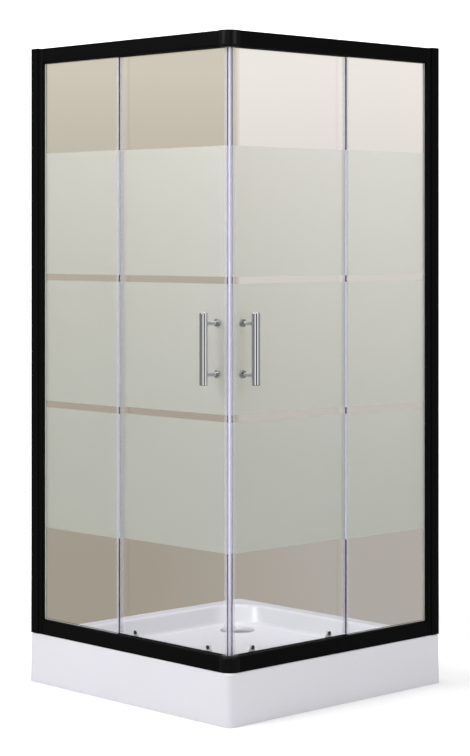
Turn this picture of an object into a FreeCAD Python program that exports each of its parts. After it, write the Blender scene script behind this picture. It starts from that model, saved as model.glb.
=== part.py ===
import FreeCAD, Part
import math
import os

os.makedirs("parts", exist_ok=True)

# Corner entry shower enclosure, in millimetres, +Z up, origin on the floor under the middle of the tray.
# The front glass face looks along -Y and the side glass face along +X; the room's corner is at -X, +Y.
# On the front half a place in plan is given as x and as depth, counted inwards from the frame's outer face.
# The side half is the front half mirrored in the upright plane through the entry corner and the room corner.

# Overall sizes
tray_side = 900.0
tray_height = 150.0
frame_height = 1800.0
face_inset = 4.5
wall_inset = 8.5

# Profile and glass sizes that every piece of the frame follows
profile_wall = 1.6
face_round = 9.0
glass_thick = 5.0
fixed_glass_depth = 11.0
groove_play = 1.0
groove_deep = 12.0
glass_end_gap = 1.5
top_rail_height = 47.5
bottom_rail_height = 46.0
wall_profile_width = 32.0
jamb_show = 21.0
jamb_tuck = 14.0
connector_spare = 0.5

# Roller line: head, wheel, bracket plate, door glass and inner caps follow each other inwards
head_gap = 0.8
head_thick = 1.2
wheel_side_gap = 0.3
wheel_width = 6.4
plate_gap = 0.4
plate_thick = 2.6
cap_thick = 3.5
cap_gap = 1.1

# Doors
fixed_glass_end = 400.0
door_overlap = 20.0
door_end_gap = 6.0
door_travel = 300.0
stop_gap = 0.5

# Fits
fit_gap = 0.02
running_gap = 0.05
pocket_gap = 0.1
overrun = 5.0

base_half = tray_side / 2
face = base_half - face_inset
wall_end = wall_inset - base_half
frame_top = tray_height + frame_height
groove_near = fixed_glass_depth - groove_play
groove_far = fixed_glass_depth + glass_thick + groove_play
box_depth = groove_far + profile_wall
wheel_depth = box_depth + head_gap + head_thick + wheel_side_gap
rib_depth = wheel_depth + wheel_width / 2
plate_depth = wheel_depth + wheel_width + plate_gap
door_depth = plate_depth + plate_thick
door_inner = door_depth + glass_thick
frame_depth = door_inner + cap_thick + cap_gap + profile_wall
jamb_face = wall_end + wall_profile_width + jamb_show
connector_arm = frame_depth + connector_spare
rail_end = face - connector_arm
fixed_edge = wall_end + fixed_glass_end
door_trail = fixed_edge - door_overlap
door_low = tray_height + door_end_gap
door_high = frame_top - door_end_gap

Vector = FreeCAD.Vector
inwards = Vector(0, 1, 0)
upwards = Vector(0, 0, 1)
along = Vector(1, 0, 0)


def at(x, depth, z):
    return Vector(x, depth - face, z)


def mirrored(shape):
    return shape.mirror(Vector(0, 0, 0), Vector(1, 1, 0))


def save(name, solids):
    shape = solids[0] if len(solids) == 1 else Part.Compound(solids)
    shape.exportStep("parts/" + name + ".step")
    print(name, len(shape.Solids), "solids", round(shape.Volume), "mm3", shape.isValid())


def save_pair(name, solids):
    save("front_" + name, solids)
    save("side_" + name, [mirrored(solid) for solid in solids])


# Closed outline through corners given as (a, b, radius), where place turns a and b into a point
def outline(corners, place):
    count = len(corners)
    flat = [Vector(a, b, 0) for a, b, radius in corners]
    spans = []
    for index in range(count):
        corner = flat[index]
        radius = corners[index][2]
        back = (flat[index - 1] - corner).normalize()
        ahead = (flat[(index + 1) % count] - corner).normalize()
        if radius == 0:
            spans.append((corner, None, corner))
            continue
        half = back.getAngle(ahead) / 2
        run = radius / math.tan(half)
        middle = (back + ahead).normalize() * (radius / math.sin(half) - radius)
        spans.append((corner + back * run, corner + middle, corner + ahead * run))
    edges = []
    for index in range(count):
        start, middle, end = spans[index]
        if middle is not None:
            arc = Part.Arc(place(start.x, start.y), place(middle.x, middle.y), place(end.x, end.y))
            edges.append(arc.toShape())
        follow = spans[(index + 1) % count][0]
        edges.append(Part.LineSegment(place(end.x, end.y), place(follow.x, follow.y)).toShape())
    return Part.Wire(edges)


def sharp(points):
    return [(a, b, 0) for a, b in points]


# Upright prism from an outline in x and depth
def upright(corners, low, high, voids=()):
    def place(x, depth):
        return at(x, depth, low)

    solid = Part.Face(outline(corners, place)).extrude(upwards * (high - low))
    for void in voids:
        solid = solid.cut(Part.Face(outline(void, place)).extrude(upwards * (high - low)))
    return solid


# Prism along x from an outline in depth and height above a base line, up for +1 and down for -1
def lengthways(corners, start, end, base, turn, voids=()):
    def place(depth, height):
        return at(start, depth, base + turn * height)

    solid = Part.Face(outline(corners, place)).extrude(along * (end - start))
    for void in voids:
        solid = solid.cut(Part.Face(outline(void, place)).extrude(along * (end - start)))
    return solid


# Plate lying against the glass, from an outline in x and z
def facing(corners, depth, thick):
    def place(x, z):
        return at(x, depth, z)

    return Part.Face(outline(corners, place)).extrude(inwards * thick)


def block(x_low, x_high, depth_low, depth_high, z_low, z_high):
    size = (x_high - x_low, depth_high - depth_low, z_high - z_low)
    return Part.makeBox(*size, at(x_low, depth_low, z_low))


def rod(radius, x, z, depth_low, depth_high):
    return Part.makeCylinder(radius, depth_high - depth_low, at(x, depth_low, z), inwards)


def post(radius, x, y, z_low, z_high):
    return Part.makeCylinder(radius, z_high - z_low, Vector(x, y, z_low), upwards)


def edges_where(shape, test):
    return [edge for edge in shape.Edges if test(edge)]


# Edges that lie in a level plane
def level_edges(shape, z, reach):
    def test(edge):
        box = edge.BoundBox
        near = max(abs(box.XMin), abs(box.XMax), abs(box.YMin), abs(box.YMax))
        return abs(box.ZMin - z) < fit_gap and abs(box.ZMax - z) < fit_gap and near < reach

    return edges_where(shape, test)


# Tray
skirt_flare = 2.5
skirt_corner = 18.0
tray_skin = 5.0
rim_round = 6.0
rim_width = 54.5
basin_depth = 60.0
basin_taper = 22.0
basin_corner = 115.0
basin_floor_corner = 130.0
basin_round = 12.0
floor_round = 18.0
drain_inset = 188.0
drain_recess_radius = 54.0
drain_recess_deep = 4.0
drain_pad_radius = 64.0
drain_pad_thick = 5.0
drain_hole_radius = 44.0

floor_level = tray_height - basin_depth
top_half = base_half - skirt_flare
basin_half = top_half - rim_width
floor_half = basin_half - basin_taper
under_floor = floor_level - tray_skin
drain_x = drain_inset - base_half
drain_y = base_half - drain_inset


def square(half, corner, z):
    def place(x, y):
        return Vector(x, y, z)

    corners = [(-half, -half, corner), (half, -half, corner), (half, half, corner), (-half, half, corner)]
    return outline(corners, place)


def loft(low_half, low_corner, low_z, high_half, high_corner, high_z):
    rings = [square(low_half, low_corner, low_z), square(high_half, high_corner, high_z)]
    return Part.makeLoft(rings, True, True)


def build_tray():
    outer = loft(base_half, skirt_corner, 0, top_half, skirt_corner, tray_height)
    outer = outer.makeFillet(rim_round, level_edges(outer, tray_height, tray_side))
    basin = loft(floor_half, basin_floor_corner, floor_level, basin_half, basin_corner, tray_height)
    tray = outer.cut(basin)
    tray = tray.makeFillet(basin_round, level_edges(tray, tray_height, basin_half + tray_skin))
    tray = tray.makeFillet(floor_round, level_edges(tray, floor_level, basin_half))
    hollow = loft(
        base_half - tray_skin, skirt_corner - tray_skin, 0,
        top_half - tray_skin, skirt_corner - tray_skin, tray_height - tray_skin,
    )
    skin = loft(
        floor_half + tray_skin, basin_floor_corner + tray_skin, under_floor,
        basin_half + tray_skin, basin_corner + tray_skin, tray_height - tray_skin,
    )
    tray = tray.cut(hollow.cut(skin))
    tray = tray.fuse(post(drain_pad_radius, drain_x, drain_y, under_floor - drain_pad_thick, under_floor))
    tray = tray.cut(post(drain_recess_radius, drain_x, drain_y, floor_level - drain_recess_deep, tray_height))
    tray = tray.cut(post(drain_hole_radius, drain_x, drain_y, 0, tray_height))
    return tray.removeSplitter()


save("shower_tray", build_tray().Solids)

# Steel frame under the tray and its levelling feet
tube_side = 25.0
tube_wall = 1.5
tube_inset = 110.0
foot_pad_radius = 22.0
foot_pad_thick = 6.0
foot_pad_round = 2.0
foot_stem_radius = 5.0
foot_stem_reach = 14.0
foot_collar_radius = 9.0
foot_collar_thick = 8.0

tube_low = under_floor - tube_side
tube_offset = base_half - tube_inset
foot_places = [(0, 0)]
for foot_x in (-tube_offset, tube_offset):
    for foot_y in (-tube_offset, tube_offset):
        foot_places.append((foot_x, foot_y))


def tube(x, y, half_x, half_y, inset):
    size = (2 * (half_x - inset), 2 * (half_y - inset), tube_side - 2 * inset)
    return Part.makeBox(*size, Vector(x + inset - half_x, y + inset - half_y, tube_low + inset))


# Welded square of tubes with a cross inside it
def build_support_frame():
    half = tube_side / 2
    reach = tube_offset + half
    solid = tube(0, 0, reach, half, 0)
    bore = tube(0, 0, reach, half, tube_wall)
    for offset in (-tube_offset, tube_offset):
        solid = solid.fuse(tube(offset, 0, half, reach, 0))
        solid = solid.fuse(tube(0, offset, reach, half, 0))
        bore = bore.fuse(tube(offset, 0, half, reach, tube_wall))
        bore = bore.fuse(tube(0, offset, reach, half, tube_wall))
    solid = solid.fuse(tube(0, 0, half, reach, 0))
    bore = bore.fuse(tube(0, 0, half, reach, tube_wall))
    solid = solid.cut(bore)
    for x, y in foot_places:
        hole_top = tube_low + tube_wall + overrun
        solid = solid.cut(post(foot_stem_radius + fit_gap, x, y, tube_low - overrun, hole_top))
    return solid.removeSplitter()


def hexagon_prism(radius, x, y, z_low, z_high):
    points = []
    for step in range(6):
        turn = math.radians(60 * step)
        points.append(Vector(x + radius * math.cos(turn), y + radius * math.sin(turn), z_low))
    return Part.Face(Part.makePolygon(points + [points[0]])).extrude(upwards * (z_high - z_low))


def build_foot(x, y):
    pad = post(foot_pad_radius, x, y, 0, foot_pad_thick)
    pad = pad.makeFillet(foot_pad_round, level_edges(pad, foot_pad_thick, tray_side))
    stem = post(foot_stem_radius, x, y, foot_pad_thick, tube_low + foot_stem_reach)
    collar = hexagon_prism(foot_collar_radius, x, y, tube_low - foot_collar_thick, tube_low)
    return pad.fuse(stem).fuse(collar).removeSplitter()


save("tray_support_frame", build_support_frame().Solids)
save("levelling_feet", [build_foot(x, y) for x, y in foot_places])

# Waste: flange in the tray's recess, gasket under the pad, bowl with its outlet down, and the loose cover
waste_flange_radius = 52.0
waste_flange_thick = 1.5
waste_tube_radius = 41.0
waste_tube_wall = 2.5
waste_tube_deep = 30.0
gasket_radius = 56.0
gasket_thick = 3.0
bowl_wall = 3.0
bowl_radius = 48.0
bowl_flange_thick = 4.0
bowl_deep = 33.0
outlet_radius = 20.0
outlet_wall = 2.5
outlet_reach = 36.0
cover_radius = 52.0
cover_edge = 1.8
cover_rise = 3.2
cover_seat_gap = 0.3
cover_foot_height = 2.4
cover_foot_width = 3.0
cover_foot_near = 44.0
cover_foot_far = 50.0
cover_foot_count = 4
cover_ring_radius = 36.0
cover_ring_wall = 2.0
cover_ring_deep = 9.0

recess_level = floor_level - drain_recess_deep
pad_low = under_floor - drain_pad_thick
gasket_low = pad_low - gasket_thick
bowl_flange_low = gasket_low - bowl_flange_thick
bowl_low = bowl_flange_low - bowl_deep
outlet_low = bowl_low - outlet_reach
flange_top = recess_level + waste_flange_thick


# Turned piece from a profile of (radius, z) on the drain's axis
def turned(points):
    corners = [Vector(drain_x + radius, drain_y, z) for radius, z in points]
    wire = Part.makePolygon(corners + [corners[0]])
    return Part.Face(wire).revolve(Vector(drain_x, drain_y, 0), upwards, 360)


def build_waste_flange():
    inner = waste_tube_radius - waste_tube_wall
    low = recess_level - waste_tube_deep
    return turned([
        (inner, low), (waste_tube_radius, low), (waste_tube_radius, recess_level),
        (waste_flange_radius, recess_level), (waste_flange_radius, flange_top), (inner, flange_top),
    ])


def build_waste_bowl():
    inner = bowl_radius - bowl_wall
    bore = outlet_radius - outlet_wall
    neck = waste_tube_radius + fit_gap
    return turned([
        (bore, outlet_low), (outlet_radius, outlet_low), (outlet_radius, bowl_low), (bowl_radius, bowl_low),
        (bowl_radius, bowl_flange_low), (gasket_radius, bowl_flange_low), (gasket_radius, gasket_low),
        (neck, gasket_low), (neck, bowl_flange_low - bowl_wall), (inner, bowl_flange_low - bowl_wall),
        (inner, bowl_low + bowl_wall), (bore, bowl_low + bowl_wall),
    ])


# Disc with a spherical crown, a ring that drops into the flange and feet that hold it off the flange
def build_drain_cover():
    low = flange_top + cover_seat_gap + cover_foot_height
    crown = low + cover_edge + cover_rise
    sphere_radius = (cover_radius ** 2 + cover_rise ** 2) / (2 * cover_rise)
    sphere = Part.makeSphere(sphere_radius, Vector(drain_x, drain_y, crown - sphere_radius))
    cover = post(cover_radius, drain_x, drain_y, low, crown).common(sphere)
    ring = post(cover_ring_radius, drain_x, drain_y, low - cover_ring_deep, low)
    ring = ring.cut(post(cover_ring_radius - cover_ring_wall, drain_x, drain_y, low - cover_ring_deep, low))
    cover = cover.fuse(ring)
    size = (cover_foot_far - cover_foot_near, cover_foot_width, cover_foot_height)
    corner = Vector(drain_x + cover_foot_near, drain_y - cover_foot_width / 2, low - cover_foot_height)
    for index in range(cover_foot_count):
        foot = Part.makeBox(*size, corner)
        foot.rotate(Vector(drain_x, drain_y, 0), upwards, 360 * index / cover_foot_count)
        cover = cover.fuse(foot)
    return cover.removeSplitter()


gasket = post(gasket_radius, drain_x, drain_y, gasket_low, pad_low)
gasket = gasket.cut(post(waste_tube_radius + pocket_gap, drain_x, drain_y, gasket_low, pad_low))
save("waste_flange", [build_waste_flange()])
save("waste_gasket", [gasket])
save("waste_bowl", [build_waste_bowl()])
save("drain_cover", build_drain_cover().Solids)

# Rails: one hollow box that holds the fixed glass, a web over the door channel, a track rib and an inner lip
# The box ends at the jamb; web and lip run on past the wall profile to the wall
wall_joint = 1.0
uplift_gap = 0.2
wall_profile_wall = 1.8
rib_thick = 1.6
rib_height = 14.0
flange_spare = 1.0
top_lip_height = 14.0
bottom_lip_height = 10.0
port_radius = 1.9
port_wall = 1.7
port_depth = 5.1
port_height_low = 4.5
port_inset = 5.5
drain_slot_length = 14.0
drain_slot_height = 4.0
drain_slot_count = 4

rib_near = rib_depth - rib_thick / 2
rib_far = rib_depth + rib_thick / 2
flange_end = rib_far + flange_spare
shell_near = -uplift_gap - wall_profile_wall
shell_far = box_depth + uplift_gap + wall_profile_wall
web_near = shell_far + uplift_gap


def rail_corners(height, lip):
    deep = height - groove_deep
    return [
        (0, 0, 0), (frame_depth, 0, 0), (frame_depth, lip, 0), (frame_depth - profile_wall, lip, 0),
        (frame_depth - profile_wall, profile_wall, 0), (box_depth, profile_wall, 0),
        (box_depth, height - profile_wall, 0), (rib_near, height - profile_wall, 0),
        (rib_near, height - rib_height, 0), (rib_far, height - rib_height, 0),
        (rib_far, height - profile_wall, 0), (flange_end, height - profile_wall, 0), (flange_end, height, 0),
        (groove_far, height, 0), (groove_far, deep, 0), (groove_near, deep, 0), (groove_near, height, 0),
        (0, height, face_round),
    ]


def rail_void(height):
    deep = height - groove_deep - profile_wall
    near = groove_near - profile_wall
    inner_round = min(face_round, near - profile_wall) - profile_wall
    return [
        (profile_wall, profile_wall, 0), (box_depth - profile_wall, profile_wall, 0),
        (box_depth - profile_wall, deep, 0), (near, deep, 0), (near, height - profile_wall, 0),
        (profile_wall, height - profile_wall, inner_round),
    ]


def port_heights(height):
    return (port_height_low, height - groove_deep + port_inset)


def build_rail(height, lip, base, turn):
    rail = lengthways(rail_corners(height, lip), jamb_face, rail_end, base, turn, [rail_void(height)])
    for port_height in port_heights(height):
        centre = at(jamb_face, port_depth, base + turn * port_height)
        rail = rail.fuse(Part.makeCylinder(port_radius + port_wall, rail_end - jamb_face, centre, along))
    for port_height in port_heights(height):
        centre = at(jamb_face, port_depth, base + turn * port_height)
        rail = rail.cut(Part.makeCylinder(port_radius, rail_end - jamb_face, centre, along))
    web = lengthways(sharp([
        (web_near, 0), (frame_depth, 0), (frame_depth, lip), (frame_depth - profile_wall, lip),
        (frame_depth - profile_wall, profile_wall), (web_near, profile_wall),
    ]), wall_end + wall_joint, jamb_face, base, turn)
    return rail.fuse(web).removeSplitter()


def build_bottom_rail():
    rail = build_rail(bottom_rail_height, bottom_lip_height, tray_height, 1)
    pitch = (rail_end - jamb_face) / drain_slot_count
    for index in range(drain_slot_count):
        middle = jamb_face + pitch * index + pitch / 2
        rail = rail.cut(block(
            middle - drain_slot_length / 2, middle + drain_slot_length / 2,
            frame_depth - profile_wall - overrun, frame_depth + overrun,
            tray_height + profile_wall, tray_height + profile_wall + drain_slot_height,
        ))
    return rail


# Screws of the frame: pan head and plain shank, all of one kind
screw_radius = 1.85
screw_head_radius = 3.0
screw_head_thick = 1.8
rail_screw_length = 24.0
corner_screw_length = 10.0
jamb_screw_length = 7.0
screw_gap = 0.04


def screw(seat, direction, length):
    shank = Part.makeCylinder(screw_radius, length, seat, direction)
    head = Part.makeCylinder(screw_head_radius, screw_head_thick, seat, direction * -1)
    return shank.fuse(head).removeSplitter()


def drill(point, direction, deep):
    return Part.makeCylinder(screw_radius + screw_gap, deep, point, direction)


# Uprights: the wall profile is screwed to the wall and the jamb slides in it to take up an uneven wall
wall_hole_radius = 2.75
wall_hole_spacing = 500.0
jamb_screw_spacing = 650.0
jamb_screw_inset = 7.0
access_hole_radius = 3.2
inner_lip_short = 6.0

jamb_start = wall_end + wall_profile_width - jamb_tuck
middle_level = tray_height + frame_height / 2
groove_start = jamb_face - groove_deep
inner_lip_end = jamb_face - inner_lip_short


def build_wall_profile():
    inner = wall_end + wall_profile_wall
    mouth = wall_end + wall_profile_width
    profile = upright(sharp([
        (wall_end, shell_near), (mouth, shell_near), (mouth, -uplift_gap), (inner, -uplift_gap),
        (inner, box_depth + uplift_gap), (mouth, box_depth + uplift_gap), (mouth, shell_far),
        (wall_end, shell_far),
    ]), tray_height, frame_top)
    for step in (-3, -1, 1, 3):
        seat = at(wall_end - overrun, box_depth / 2, middle_level + step * wall_hole_spacing / 2)
        profile = profile.cut(Part.makeCylinder(wall_hole_radius, 2 * overrun, seat, along))
    for step in (-1, 0, 1):
        level = middle_level + step * jamb_screw_spacing
        seat = at(jamb_start + jamb_screw_inset, shell_far + overrun, level)
        profile = profile.cut(drill(seat, inwards * -1, 2 * overrun + wall_profile_wall))
    return profile


def jamb_corners():
    return [
        (jamb_start, 0, 0), (jamb_face, 0, face_round), (jamb_face, groove_near, 0),
        (groove_start, groove_near, 0), (groove_start, groove_far, 0), (inner_lip_end, groove_far, 0),
        (inner_lip_end, box_depth, 0), (jamb_start, box_depth, 0),
    ]


def jamb_void():
    near = groove_near - profile_wall
    inner_round = min(face_round, near - profile_wall) - profile_wall
    end = jamb_face - profile_wall
    deep = groove_start - profile_wall
    return [
        (jamb_start + profile_wall, profile_wall, 0), (end, profile_wall, inner_round), (end, near, 0),
        (deep, near, 0), (deep, box_depth - profile_wall, 0),
        (jamb_start + profile_wall, box_depth - profile_wall, 0),
    ]


def rail_screw_levels():
    levels = [frame_top - height for height in port_heights(top_rail_height)]
    levels += [tray_height + height for height in port_heights(bottom_rail_height)]
    return levels


def build_jamb():
    jamb = upright(jamb_corners(), tray_height, frame_top, [jamb_void()])
    for level in rail_screw_levels():
        jamb = jamb.cut(drill(at(jamb_start, port_depth, level), along, jamb_face - jamb_start))
        seat = at(jamb_start, port_depth, level)
        reach = jamb_face - profile_wall - jamb_start
        jamb = jamb.cut(Part.makeCylinder(access_hole_radius, reach, seat, along))
    for step in (-1, 0, 1):
        level = middle_level + step * jamb_screw_spacing
        seat = at(jamb_start + jamb_screw_inset, box_depth + uplift_gap, level)
        jamb = jamb.cut(drill(seat, inwards * -1, overrun + uplift_gap))
    return jamb


# Plastic cap that closes the wall profile's top
cap_plate_thick = 1.8
cap_plug_length = 10.0
cap_plug_wall = 2.0
cap_plug_gap = 0.4


def build_wall_cap():
    plate = block(
        wall_end, wall_end + wall_profile_width, shell_near, shell_far, frame_top, frame_top + cap_plate_thick
    )
    plug_start = wall_end + wall_profile_wall + cap_plug_gap
    plug_end = jamb_start - cap_plug_gap
    low = frame_top - cap_plug_length
    plug = block(plug_start, plug_end, 0, box_depth, low, frame_top)
    plug = plug.cut(block(
        plug_start + cap_plug_wall, plug_end - cap_plug_wall, cap_plug_wall, box_depth - cap_plug_wall,
        low, frame_top,
    ))
    return plate.fuse(plug).removeSplitter()


# Corner connectors: a moulded corner with a spigot in each rail's box and a plate over the door channel
connector_round = 32.0
connector_proud = 1.0
connector_wall = 2.5
spigot_length = 22.0
spigot_gap = 0.3
spigot_start_height = 9.5
corner_screw_inset = 11.0


def diagonal_pair(solid):
    return solid.fuse(mirrored(solid))


def connector_shell(height, base, turn, proud):
    outer = [
        (rail_end, 0, 0), (face, 0, connector_round), (face, connector_arm, 0),
        (face - box_depth, connector_arm, 0), (face - box_depth, box_depth, connector_wall),
        (rail_end, box_depth, 0),
    ]
    ends = sorted((base - turn * proud, base + turn * height))
    solid = upright(outer, ends[0], ends[1])
    glass_side = base + turn * height
    rounded = []
    for edge in level_edges(solid, glass_side, tray_side):
        middle = edge.valueAt((edge.FirstParameter + edge.LastParameter) / 2)
        outside = max(middle.x - face, -face - middle.y) > -(1 - 1 / math.sqrt(2)) * connector_round - fit_gap
        if outside and not edge_meets_rail(edge):
            rounded.append(edge)
    return solid.makeFillet(face_round, rounded)


# True for an edge that runs across the frame's depth where the connector meets a rail
def edge_meets_rail(edge):
    box = edge.BoundBox
    across_front = box.XLength < fit_gap and abs(box.XMin - rail_end) < fit_gap
    across_side = box.YLength < fit_gap and abs(box.YMin + rail_end) < fit_gap
    return across_front or across_side


def build_connector(height, base, turn, proud):
    solid = connector_shell(height, base, turn, proud)
    ends = sorted((base - turn * proud, base + turn * profile_wall))
    plate = upright([
        (rail_end, 0, 0), (face, 0, connector_round), (face, connector_arm, 0),
        (rail_end, connector_arm, 0),
    ], ends[0], ends[1])
    solid = solid.fuse(plate)
    spigot_near = profile_wall + spigot_gap
    spigot_far = box_depth - profile_wall - spigot_gap
    spigot_high = height - groove_deep - profile_wall - spigot_gap
    ends = sorted((base + turn * spigot_start_height, base + turn * spigot_high))
    spigot = block(rail_end - spigot_length, rail_end, spigot_near, spigot_far, ends[0], ends[1])
    middle = (ends[0] + ends[1]) / 2
    seat = at(rail_end - corner_screw_inset, spigot_far + overrun, middle)
    spigot = spigot.cut(drill(seat, inwards * -1, corner_screw_length + overrun))
    return solid.fuse(diagonal_pair(spigot)).removeSplitter()


def corner_screw_levels():
    levels = []
    for height, base, turn in ((top_rail_height, frame_top, -1), (bottom_rail_height, tray_height, 1)):
        far = height - groove_deep - profile_wall - spigot_gap
        levels.append(base + turn * (spigot_start_height + far) / 2)
    return levels


def drilled_rail(rail, level):
    seat = at(rail_end - corner_screw_inset, box_depth + overrun, level)
    return rail.cut(drill(seat, inwards * -1, overrun + 2 * profile_wall))


def build_frame_screws():
    screws = []
    for level in rail_screw_levels():
        screws.append(screw(at(jamb_face - profile_wall, port_depth, level), along, rail_screw_length))
    for level in corner_screw_levels():
        seat = at(rail_end - corner_screw_inset, box_depth, level)
        screws.append(screw(seat, inwards * -1, corner_screw_length))
    for step in (-1, 0, 1):
        seat = at(jamb_start + jamb_screw_inset, shell_far, middle_level + step * jamb_screw_spacing)
        screws.append(screw(seat, inwards * -1, jamb_screw_length))
    return screws + [mirrored(one) for one in screws]


top_rail = drilled_rail(build_rail(top_rail_height, top_lip_height, frame_top, -1), corner_screw_levels()[0])
bottom_rail = drilled_rail(build_bottom_rail(), corner_screw_levels()[1])
wall_cap = build_wall_cap()
save_pair("top_rail", [top_rail])
save_pair("bottom_rail", [bottom_rail])
save_pair("wall_profile", [build_wall_profile()])
save_pair("jamb", [build_jamb()])
save("wall_profile_caps", [wall_cap, mirrored(wall_cap)])
save("top_corner_connector", build_connector(top_rail_height, frame_top, -1, connector_proud).Solids)
save("bottom_corner_connector", build_connector(bottom_rail_height, tray_height, 1, 0).Solids)
save("frame_screws", build_frame_screws())

# Fixed glass in its grooves, the gasket round its three held edges and the seal on its free edge
# Each seal grips its glass with the fit gap round it, and its leg on the outer face has its own length
gasket_gap = 0.1
gasket_end = 1.0
gasket_proud = 1.0
jamb_gasket_proud = 3.5
seal_wall = 1.2
seal_grip = 10.0
seal_face_grip = 8.0
trail_face_grip = 20.0
seal_rail_gap = 1.5
fin_tip_gap = 0.6
fin_depth_gap = 0.7
fin_thick = 1.0
hook_gap = 1.4

fixed_start = groove_start + glass_end_gap
fixed_low = tray_height + bottom_rail_height - groove_deep + glass_end_gap
fixed_high = frame_top - top_rail_height + groove_deep - glass_end_gap
bottom_mouth = tray_height + bottom_rail_height
top_mouth = frame_top - top_rail_height
fixed_inner = fixed_glass_depth + glass_thick
seal_low = bottom_mouth + seal_rail_gap
seal_high = top_mouth - seal_rail_gap
hook_side = door_trail - fit_gap - seal_wall


def build_glazing_gasket(glass):
    end = fixed_edge - seal_grip - gasket_gap - gasket_proud
    body = block(
        fixed_start - gasket_end, end, groove_near + gasket_gap, groove_far - gasket_gap,
        fixed_low - gasket_end, fixed_high + gasket_end,
    )
    window = block(
        jamb_face + jamb_gasket_proud, end + overrun, groove_near - overrun, groove_far + overrun,
        bottom_mouth + gasket_proud, top_mouth - gasket_proud,
    )
    return body.cut(window).cut(glass)


def build_overlap_seal():
    glass_near = fixed_glass_depth - fit_gap
    glass_far = fixed_inner + fit_gap
    glass_end = fixed_edge + fit_gap
    near = glass_near - seal_wall
    far = glass_far + seal_wall
    end = glass_end + seal_wall
    grip = fixed_edge - seal_grip
    face_grip = fixed_edge - seal_face_grip
    knob_face = plate_depth - knob_thick
    tip_depth = knob_face - fin_depth_gap
    tip_x = door_trail + fin_tip_gap
    return upright(sharp([
        (face_grip, near), (end, near), (end, far), (grip + fin_thick, far), (tip_x + fin_thick, tip_depth),
        (tip_x, tip_depth), (grip, far - fin_thick / 2), (grip, glass_far), (glass_end, glass_far),
        (glass_end, glass_near), (face_grip, glass_near),
    ]), seal_low, seal_high)


# Rubber stops on the rails' webs, level with the door glass, that end the doors' travel
stop_length = 14.0
stop_width = 7.0
stop_height = 20.0
stop_round = 2.0


def build_stops():
    stops = []
    end = door_trail - door_travel - stop_gap
    start = end - stop_length
    middle = door_depth + glass_thick / 2
    for base, turn in ((frame_top, -1), (tray_height, 1)):
        ends = sorted((base + turn * profile_wall, base + turn * (profile_wall + stop_height)))
        stops.append(upright([
            (start, middle - stop_width / 2, 0), (end, middle - stop_width / 2, stop_round),
            (end, middle + stop_width / 2, stop_round), (start, middle + stop_width / 2, 0),
        ], ends[0], ends[1]))
    return stops + [mirrored(one) for one in stops]


# Rollers: grooved wheels on studs; the top ones run on the rib, the bottom ones hook under it
wheel_radius = 10.5
groove_radius = 8.7
groove_open = 0.6
groove_slope = 0.7
axle_radius = 3.0
track_gap = 0.2
roller_inset = 76.0
head_radius = 5.0
shoulder_radius = 4.4
stud_radius = 9.0
stud_hole_radius = 6.0
bush_gap = 0.1
inner_cap_radius = 10.0
inner_cap_round = 1.2
knob_cap_radius = 6.5
knob_cap_thick = 3.0
knob_rise = 33.0
knob_radius = 6.0
knob_thick = 2.4
knob_round = 0.8
knob_shank_radius = 4.0
shank_reach = 2.0

top_wheel_level = frame_top - (top_rail_height - rib_height - groove_radius - track_gap)
bottom_wheel_level = tray_height + bottom_rail_height - rib_height - groove_radius - track_gap
knob_level = bottom_wheel_level + knob_rise
door_lead = face - connector_arm + connector_spare
roller_places = [("trail", door_trail + roller_inset), ("lead", door_lead - roller_inset)]


def build_wheel(x, level):
    bore = axle_radius + running_gap
    groove_half = rib_thick / 2 + groove_open
    slope = groove_slope
    points = [
        (bore, wheel_depth), (wheel_radius, wheel_depth), (wheel_radius, rib_depth - groove_half - slope),
        (groove_radius, rib_depth - groove_half), (groove_radius, rib_depth + groove_half),
        (wheel_radius, rib_depth + groove_half + slope), (wheel_radius, wheel_depth + wheel_width),
        (bore, wheel_depth + wheel_width),
    ]
    corners = [at(x, depth, level + radius) for radius, depth in points]
    wire = Part.makePolygon(corners + [corners[0]])
    return Part.Face(wire).revolve(at(x, 0, level), inwards, 360)


# Axle with its riveted head, and the shoulder that spaces the wheel from the plate
def build_axle(x, level):
    head = rod(head_radius, x, level, wheel_depth - wheel_side_gap - head_thick, wheel_depth - wheel_side_gap)
    pin = rod(axle_radius, x, level, wheel_depth - wheel_side_gap, plate_depth)
    shoulder = rod(shoulder_radius, x, level, plate_depth - plate_gap / 2, plate_depth)
    return head.fuse(pin).fuse(shoulder)


def build_top_stud(x):
    level = top_wheel_level
    disc = rod(stud_radius, x, level, plate_depth, door_depth)
    barrel = rod(stud_hole_radius - bush_gap, x, level, door_depth, door_inner + shank_reach)
    return build_axle(x, level).fuse(disc).fuse(barrel).removeSplitter()


# Cast bracket of the bottom roller: wide at the wheel's shoulder, drawn in round the knob above the rail
bracket_foot_half = 8.5
bracket_foot_drop = 8.0
bracket_near = 10.0
bracket_far = 17.0
bracket_waist = 24.5
bracket_top_half = 6.5
bracket_top_rise = 7.0
bracket_round = 4.0


def build_bottom_bracket(x):
    low = bottom_wheel_level - bracket_foot_drop
    waist = bottom_wheel_level + bracket_waist
    high = knob_level + bracket_top_rise
    plate = facing([
        (x - bracket_foot_half, low, bracket_round), (x + bracket_foot_half, low, bracket_round),
        (x + bracket_far, waist, bracket_round), (x + bracket_top_half, high, bracket_round),
        (x - bracket_top_half, high, bracket_round), (x - bracket_near, waist, bracket_round),
    ], plate_depth, plate_thick)
    plate = plate.cut(rod(knob_shank_radius + fit_gap, x, knob_level, plate_depth, door_depth))
    return build_axle(x, bottom_wheel_level).fuse(plate).removeSplitter()


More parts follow.
